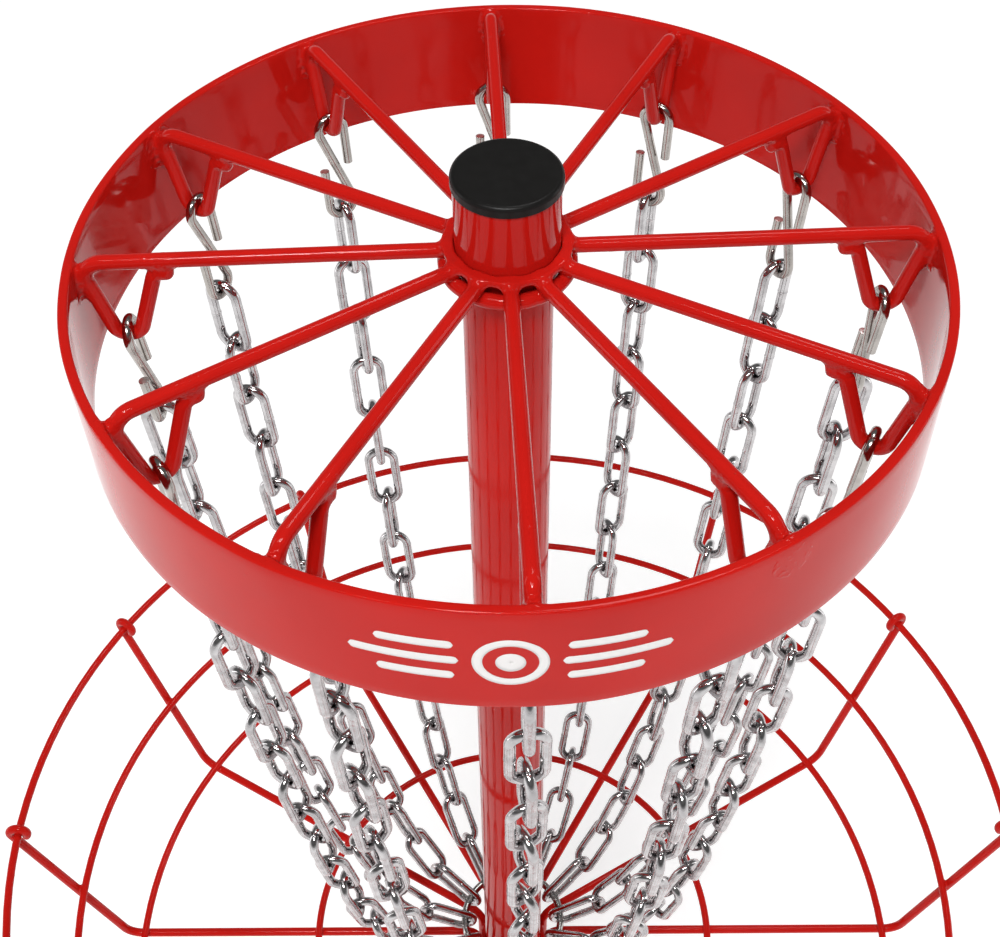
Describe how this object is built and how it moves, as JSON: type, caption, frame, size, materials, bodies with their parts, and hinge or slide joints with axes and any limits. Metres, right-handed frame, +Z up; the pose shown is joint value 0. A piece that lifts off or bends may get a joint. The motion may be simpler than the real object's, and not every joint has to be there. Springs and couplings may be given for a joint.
{
  "type": "disc golf basket",
  "caption": "Disc golf basket: a red hoop band on rod arms hangs loose chains on S hooks round a pole above a flared wire tray, on a ring base.",
  "frame": {"origin": "on the ground under the pole's axis", "axes": "+Z up along the pole, +X through a tray wire, the set bolts face +Y"},
  "size_m": [0.7982, 0.7982, 1.4751],
  "materials": {
    "red_powder_coat": "gloss red powder coat over steel",
    "zinc_chain": "bright zinc-plated welded link chain",
    "hook_steel": "nickel-plated steel wire",
    "ring_steel": "plated steel ring, slightly darker than the chain",
    "black_plastic": "satin black moulded plastic",
    "black_rubber": "matt black rubber",
    "zinc_bolt": "zinc-plated hexagon bolts"
  },
  "bodies": {
    "root": {"deflector_band": "red_powder_coat", "chain_arms": "red_powder_coat", "head_sleeve": "red_powder_coat", "head_flange": "red_powder_coat", "head_hoop": "red_powder_coat", "pole_cap": "black_plastic", "pole": "red_powder_coat", "tray_collar": "red_powder_coat", "tray_wires": "red_powder_coat", "tray_rim": "red_powder_coat", "tray_mid_ring": "red_powder_coat", "tray_floor_ring": "red_powder_coat", "tray_inner_ring": "red_powder_coat", "set_bolts": "zinc_bolt", "weld_nuts": "red_powder_coat", "base_socket": "red_powder_coat", "base_plate": "red_powder_coat", "base_legs": "red_powder_coat", "base_ring": "red_powder_coat", "base_feet": "black_rubber"},
    "chain_ring": {"chain_ring": "ring_steel"},
    "chain_01_upper": {"s_hook_01": "hook_steel", "chain_upper_01": "zinc_chain"},
    "chain_01_lower": {"chain_lower_01": "zinc_chain"},
    "chain_02_upper": {"s_hook_02": "hook_steel", "chain_upper_02": "zinc_chain"},
    "chain_02_lower": {"chain_lower_02": "zinc_chain"},
    "chain_03_upper": {"s_hook_03": "hook_steel", "chain_upper_03": "zinc_chain"},
    "chain_03_lower": {"chain_lower_03": "zinc_chain"},
    "chain_04_upper": {"s_hook_04": "hook_steel", "chain_upper_04": "zinc_chain"},
    "chain_04_lower": {"chain_lower_04": "zinc_chain"},
    "chain_05_upper": {"s_hook_05": "hook_steel", "chain_upper_05": "zinc_chain"},
    "chain_05_lower": {"chain_lower_05": "zinc_chain"},
    "chain_06_upper": {"s_hook_06": "hook_steel", "chain_upper_06": "zinc_chain"},
    "chain_06_lower": {"chain_lower_06": "zinc_chain"},
    "chain_07_upper": {"s_hook_07": "hook_steel", "chain_upper_07": "zinc_chain"},
    "chain_07_lower": {"chain_lower_07": "zinc_chain"},
    "chain_08_upper": {"s_hook_08": "hook_steel", "chain_upper_08": "zinc_chain"},
    "chain_08_lower": {"chain_lower_08": "zinc_chain"},
    "chain_09_upper": {"s_hook_09": "hook_steel", "chain_upper_09": "zinc_chain"},
    "chain_09_lower": {"chain_lower_09": "zinc_chain"},
    "chain_10_upper": {"s_hook_10": "hook_steel", "chain_upper_10": "zinc_chain"},
    "chain_10_lower": {"chain_lower_10": "zinc_chain"},
    "chain_11_upper": {"s_hook_11": "hook_steel", "chain_upper_11": "zinc_chain"},
    "chain_11_lower": {"chain_lower_11": "zinc_chain"},
    "chain_12_upper": {"s_hook_12": "hook_steel", "chain_upper_12": "zinc_chain"},
    "chain_12_lower": {"chain_lower_12": "zinc_chain"}
  },
  "joints": [
    {"name": "chain_ring_turn", "type": "hinge", "parent": "root", "child": "chain_ring", "pos_m": [0, 0, 0.663], "axis": [0, 0, 1], "continuous": true},
    {"name": "chain_01_swing", "type": "hinge", "parent": "root", "child": "chain_01_upper", "pos_m": [0.19731, 0.00861, 1.3851], "axis": [-0.0436, 0.999, 0], "range_deg": [0, 5]},
    {"name": "chain_01_bend", "type": "hinge", "parent": "chain_01_upper", "child": "chain_01_lower", "pos_m": [0.15676, 0.00684, 0.97497], "axis": [-0.0436, 0.999, 0], "range_deg": [-10.5, 0]},
    {"name": "chain_02_swing", "type": "hinge", "parent": "root", "child": "chain_02_upper", "pos_m": [0.16657, 0.10612, 1.3851], "axis": [-0.5373, 0.8434, 0], "range_deg": [0, 5]},
    {"name": "chain_02_bend", "type": "hinge", "parent": "chain_02_upper", "child": "chain_02_lower", "pos_m": [0.13233, 0.0843, 0.97497], "axis": [-0.5373, 0.8434, 0], "range_deg": [-10.5, 0]},
    {"name": "chain_03_swing", "type": "hinge", "parent": "root", "child": "chain_03_upper", "pos_m": [0.09119, 0.17519, 1.3851], "axis": [-0.887, 0.4617, 0], "range_deg": [0, 5]},
    {"name": "chain_03_bend", "type": "hinge", "parent": "chain_03_upper", "child": "chain_03_lower", "pos_m": [0.07245, 0.13918, 0.97497], "axis": [-0.887, 0.4617, 0], "range_deg": [-10.5, 0]},
    {"name": "chain_04_swing", "type": "hinge", "parent": "root", "child": "chain_04_upper", "pos_m": [-0.00861, 0.19731, 1.3851], "axis": [-0.999, -0.0436, 0], "range_deg": [0, 5]},
    {"name": "chain_04_bend", "type": "hinge", "parent": "chain_04_upper", "child": "chain_04_lower", "pos_m": [-0.00684, 0.15676, 0.97497], "axis": [-0.999, -0.0436, 0], "range_deg": [-10.5, 0]},
    {"name": "chain_05_swing", "type": "hinge", "parent": "root", "child": "chain_05_upper", "pos_m": [-0.10612, 0.16657, 1.3851], "axis": [-0.8434, -0.5373, 0], "range_deg": [0, 5]},
    {"name": "chain_05_bend", "type": "hinge", "parent": "chain_05_upper", "child": "chain_05_lower", "pos_m": [-0.0843, 0.13233, 0.97497], "axis": [-0.8434, -0.5373, 0], "range_deg": [-10.5, 0]},
    {"name": "chain_06_swing", "type": "hinge", "parent": "root", "child": "chain_06_upper", "pos_m": [-0.17519, 0.09119, 1.3851], "axis": [-0.4617, -0.887, 0], "range_deg": [0, 5]},
    {"name": "chain_06_bend", "type": "hinge", "parent": "chain_06_upper", "child": "chain_06_lower", "pos_m": [-0.13918, 0.07245, 0.97497], "axis": [-0.4617, -0.887, 0], "range_deg": [-10.5, 0]},
    {"name": "chain_07_swing", "type": "hinge", "parent": "root", "child": "chain_07_upper", "pos_m": [-0.19731, -0.00861, 1.3851], "axis": [0.0436, -0.999, 0], "range_deg": [0, 5]},
    {"name": "chain_07_bend", "type": "hinge", "parent": "chain_07_upper", "child": "chain_07_lower", "pos_m": [-0.15676, -0.00684, 0.97497], "axis": [0.0436, -0.999, 0], "range_deg": [-10.5, 0]},
    {"name": "chain_08_swing", "type": "hinge", "parent": "root", "child": "chain_08_upper", "pos_m": [-0.16657, -0.10612, 1.3851], "axis": [0.5373, -0.8434, 0], "range_deg": [0, 5]},
    {"name": "chain_08_bend", "type": "hinge", "parent": "chain_08_upper", "child": "chain_08_lower", "pos_m": [-0.13233, -0.0843, 0.97497], "axis": [0.5373, -0.8434, 0], "range_deg": [-10.5, 0]},
    {"name": "chain_09_swing", "type": "hinge", "parent": "root", "child": "chain_09_upper", "pos_m": [-0.09119, -0.17519, 1.3851], "axis": [0.887, -0.4617, 0], "range_deg": [0, 5]},
    {"name": "chain_09_bend", "type": "hinge", "parent": "chain_09_upper", "child": "chain_09_lower", "pos_m": [-0.07245, -0.13918, 0.97497], "axis": [0.887, -0.4617, 0], "range_deg": [-10.5, 0]},
    {"name": "chain_10_swing", "type": "hinge", "parent": "root", "child": "chain_10_upper", "pos_m": [0.00861, -0.19731, 1.3851], "axis": [0.999, 0.0436, 0], "range_deg": [0, 5]},
    {"name": "chain_10_bend", "type": "hinge", "parent": "chain_10_upper", "child": "chain_10_lower", "pos_m": [0.00684, -0.15676, 0.97497], "axis": [0.999, 0.0436, 0], "range_deg": [-10.5, 0]},
    {"name": "chain_11_swing", "type": "hinge", "parent": "root", "child": "chain_11_upper", "pos_m": [0.10612, -0.16657, 1.3851], "axis": [0.8434, 0.5373, 0], "range_deg": [0, 5]},
    {"name": "chain_11_bend", "type": "hinge", "parent": "chain_11_upper", "child": "chain_11_lower", "pos_m": [0.0843, -0.13233, 0.97497], "axis": [0.8434, 0.5373, 0], "range_deg": [-10.5, 0]},
    {"name": "chain_12_swing", "type": "hinge", "parent": "root", "child": "chain_12_upper", "pos_m": [0.17519, -0.09119, 1.3851], "axis": [0.4617, 0.887, 0], "range_deg": [0, 5]},
    {"name": "chain_12_bend", "type": "hinge", "parent": "chain_12_upper", "child": "chain_12_lower", "pos_m": [0.13918, -0.07245, 0.97497], "axis": [0.4617, 0.887, 0], "range_deg": [-10.5, 0]}
  ],
  "couplings": [
    {"joint": "chain_01_bend", "follows": "chain_01_swing", "ratio": -2.1},
    {"joint": "chain_02_bend", "follows": "chain_02_swing", "ratio": -2.1},
    {"joint": "chain_03_bend", "follows": "chain_03_swing", "ratio": -2.1},
    {"joint": "chain_04_bend", "follows": "chain_04_swing", "ratio": -2.1},
    {"joint": "chain_05_bend", "follows": "chain_05_swing", "ratio": -2.1},
    {"joint": "chain_06_bend", "follows": "chain_06_swing", "ratio": -2.1},
    {"joint": "chain_07_bend", "follows": "chain_07_swing", "ratio": -2.1},
    {"joint": "chain_08_bend", "follows": "chain_08_swing", "ratio": -2.1},
    {"joint": "chain_09_bend", "follows": "chain_09_swing", "ratio": -2.1},
    {"joint": "chain_10_bend", "follows": "chain_10_swing", "ratio": -2.1},
    {"joint": "chain_11_bend", "follows": "chain_11_swing", "ratio": -2.1},
    {"joint": "chain_12_bend", "follows": "chain_12_swing", "ratio": -2.1}
  ]
}
